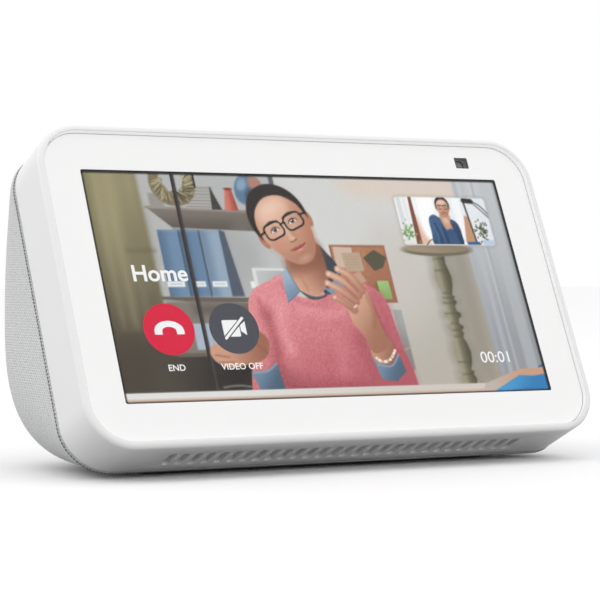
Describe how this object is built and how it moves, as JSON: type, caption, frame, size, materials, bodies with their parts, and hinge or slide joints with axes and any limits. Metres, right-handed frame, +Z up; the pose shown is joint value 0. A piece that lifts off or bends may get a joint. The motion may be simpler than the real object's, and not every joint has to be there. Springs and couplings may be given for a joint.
{
  "type": "smart display",
  "caption": "Tabletop smart display with a leaning bonded-glass front, fabric-covered rear body, top buttons, sliding camera shutter and rear loudspeaker.",
  "frame": {"origin": "on the table, under the middle of the object's box", "axes": "+Z up, the display faces -Y and leans back, +X to the right seen from the front"},
  "size_m": [0.148, 0.0736, 0.0867],
  "materials": {
    "housing": "white moulded plastic with a soft satin sheen",
    "glass": "clear cover glass, polished",
    "border": "white printed border",
    "foam": "black foam and bonding tape",
    "display": "black display panel",
    "diffuser": "white diffuser and light guide",
    "steel": "bright pressed steel",
    "screw": "dark plated screws",
    "board": "green solder mask",
    "flex": "amber flexible circuit",
    "black_plastic": "black moulded plastic",
    "lens": "coated camera lens",
    "button": "white moulded plastic, satin",
    "connector": "ivory connector bodies",
    "pad": "soft thermal pad",
    "aluminium": "plain aluminium sheet",
    "copper": "copper foil and wire",
    "gasket": "grey seam gasket",
    "shell": "light grey moulded plastic",
    "fabric": "light grey heathered knit, wrapped and glued",
    "foot": "dark grey non-slip rubber",
    "cone": "pressed speaker cone",
    "spider": "resin-dipped cloth",
    "ferrite": "dark ferrite magnet"
  },
  "bodies": {
    "root": {"front_housing": "housing", "cover_glass": "glass", "border_film": "border", "glass_tape": "foam", "touch_sensor": "display", "display_panel": "display", "backlight": "diffuser", "display_chassis": "steel", "chassis_screws": "screw", "display_flex": "flex", "camera_module": "black_plastic", "camera_lens": "lens", "camera_board": "board", "camera_flex": "flex", "button_switches": "steel", "button_board": "board", "button_bracket": "black_plastic", "button_flex": "flex", "microphones": "steel", "microphone_gaskets": "foam", "vent_mesh": "foam", "main_board": "board", "board_screws": "screw", "shield_cans": "steel", "board_connectors": "connector", "thermal_pad": "pad", "heat_spreader": "aluminium", "antennas": "copper", "antenna_leads": "black_plastic", "seam_gasket": "gasket", "rear_shell": "shell", "shell_screws": "screw", "rear_fabric": "fabric", "base_plate": "shell", "base_screws": "screw", "rubber_foot": "foot", "sound_chamber": "black_plastic", "chamber_screws": "screw", "speaker_frame": "steel", "speaker_screws": "screw", "speaker_surround": "foam", "speaker_spider": "spider", "speaker_magnet": "ferrite", "magnet_yoke": "steel", "speaker_gasket": "foam", "speaker_leads": "copper", "port_panel": "housing", "power_inlet": "black_plastic", "inlet_pin": "steel", "usb_socket": "steel", "port_board": "board", "port_flex": "flex"},
    "mute_body": {"mute_button": "button"},
    "volume_down_body": {"volume_down_button": "button"},
    "volume_up_body": {"volume_up_button": "button"},
    "shutter_body": {"shutter_knob": "button", "shutter_blade": "button"},
    "cone_body": {"speaker_cone": "cone", "dust_cap": "cone", "voice_coil": "copper"}
  },
  "joints": [
    {"name": "mute_press", "type": "slide", "parent": "root", "child": "mute_body", "axis": [0, -0.4226, -0.9063], "range_m": [0, 0.0006], "stiffness_N_per_m": 1000},
    {"name": "volume_down_press", "type": "slide", "parent": "root", "child": "volume_down_body", "axis": [0, -0.4226, -0.9063], "range_m": [0, 0.0006], "stiffness_N_per_m": 1000},
    {"name": "volume_up_press", "type": "slide", "parent": "root", "child": "volume_up_body", "axis": [0, -0.4226, -0.9063], "range_m": [0, 0.0006], "stiffness_N_per_m": 1000},
    {"name": "shutter_slide", "type": "slide", "parent": "root", "child": "shutter_body", "axis": [1, 0, 0], "range_m": [0, 0.0058]},
    {"name": "cone_stroke", "type": "slide", "parent": "root", "child": "cone_body", "axis": [0, 0.9063, -0.4226], "range_m": [-0.0012, 0.0012], "stiffness_N_per_m": 1500}
  ]
}
